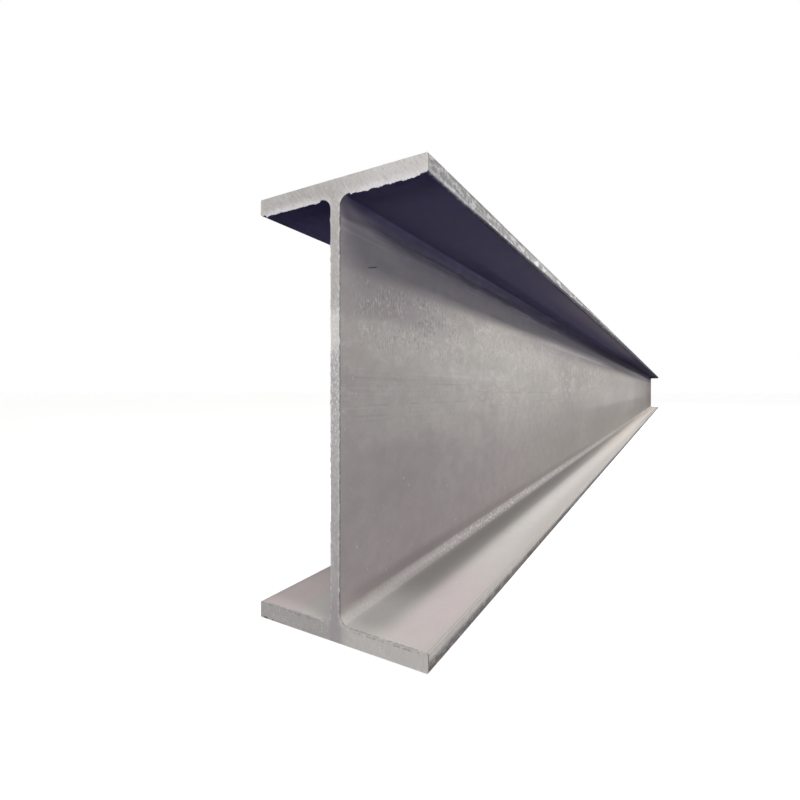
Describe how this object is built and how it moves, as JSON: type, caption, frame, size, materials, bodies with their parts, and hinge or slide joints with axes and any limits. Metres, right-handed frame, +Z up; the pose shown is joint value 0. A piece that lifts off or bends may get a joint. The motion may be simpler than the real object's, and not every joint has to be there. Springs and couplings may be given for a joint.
{
  "type": "steel i-beam",
  "caption": "Hot-rolled steel I-beam with parallel flanges, filleted web roots and square saw-cut ends, for the beams and columns of a building frame.",
  "frame": {"origin": "centre of the bottom flange's underside, at mid-length", "axes": "+X along the length, +Y across the flanges, +Z up through the depth; lying with its web upright"},
  "size_m": [7.5, 0.1794, 0.4128],
  "materials": {
    "rolled_steel": "grey hot-rolled mill surface, dull sheen, with bright saw-cut ends"
  },
  "bodies": {
    "root": {"i_beam": "rolled_steel"}
  },
  "joints": []
}
